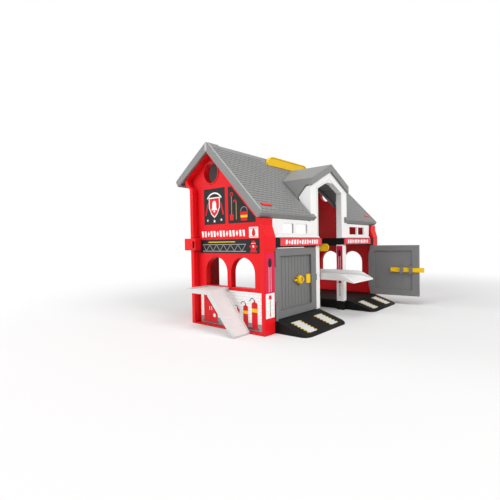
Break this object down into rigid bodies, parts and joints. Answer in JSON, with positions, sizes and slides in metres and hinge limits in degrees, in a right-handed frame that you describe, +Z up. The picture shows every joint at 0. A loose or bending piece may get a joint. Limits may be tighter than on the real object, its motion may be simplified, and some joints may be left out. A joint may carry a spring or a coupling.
{
  "type": "toy fire station",
  "caption": "Toy fire station play house with gable walls, pitched roof with dormer, garage gates with sliding bolts, lift tray, slide and carry handle.",
  "frame": {"origin": "centre of the bounding box at its underside, with the left gate closed and the right gate open", "axes": "+X along the facade to the right seen from the front, +Y from the facade to the open back, +Z up"},
  "size_m": [0.516, 0.3968, 0.3718],
  "materials": {
    "red": "glossy red",
    "black": "satin black",
    "white": "white",
    "grey": "satin grey",
    "gate_grey": "satin grey",
    "yellow": "glossy yellow",
    "coral": "satin coral red"
  },
  "bodies": {
    "house": {"gable_wall_left": "red", "gable_wall_right": "red", "base_plate": "black", "floor_slab": "black", "post_right": "white", "post_left": "white", "facade_panel": "white", "roof_front": "grey", "roof_back": "grey", "ridge_cap_left": "grey", "ridge_cap_right": "grey", "dormer_roof": "grey", "carry_handle": "yellow", "sign_strip_left": "coral", "sign_strip_right": "coral", "balcony_platform": "white", "slide_ramp": "white"},
    "gate_left": {"gate_left": "gate_grey", "latch_shield_left": "yellow"},
    "gate_right": {"gate_right": "gate_grey", "latch_shield_right": "yellow"},
    "bolt_left": {"bolt_left": "yellow", "knob_left": "yellow"},
    "bolt_right": {"bolt_right": "yellow", "knob_right": "yellow"},
    "lift": {"lift_tray": "white"},
    "lever": {"lift_lever": "yellow"}
  },
  "joints": [
    {"name": "gate_left_hinge", "type": "hinge", "parent": "house", "child": "gate_left", "pos_m": [-0.183, -0.05062, 0.09], "axis": [0, 0, -1], "range_deg": [0, 110]},
    {"name": "gate_right_hinge", "type": "hinge", "parent": "house", "child": "gate_right", "pos_m": [0.219, -0.05062, 0.09], "axis": [0, 0, 1], "range_deg": [-91, 14]},
    {"name": "bolt_left_slide", "type": "slide", "parent": "gate_left", "child": "bolt_left", "axis": [1, 0, 0], "range_m": [-0.005, 0.0095]},
    {"name": "bolt_right_slide", "type": "slide", "parent": "gate_right", "child": "bolt_right", "axis": [0.1045, -0.9945, 0], "range_m": [-0.0145, 0]},
    {"name": "lift_slide", "type": "slide", "parent": "house", "child": "lift", "axis": [0, 0, 1], "range_m": [-0.078, 0.077]},
    {"name": "lever_hinge", "type": "hinge", "parent": "house", "child": "lever", "pos_m": [-0.032, -0.03762, 0.156], "axis": [1, 0, 0], "range_deg": [-45, 60]}
  ]
}
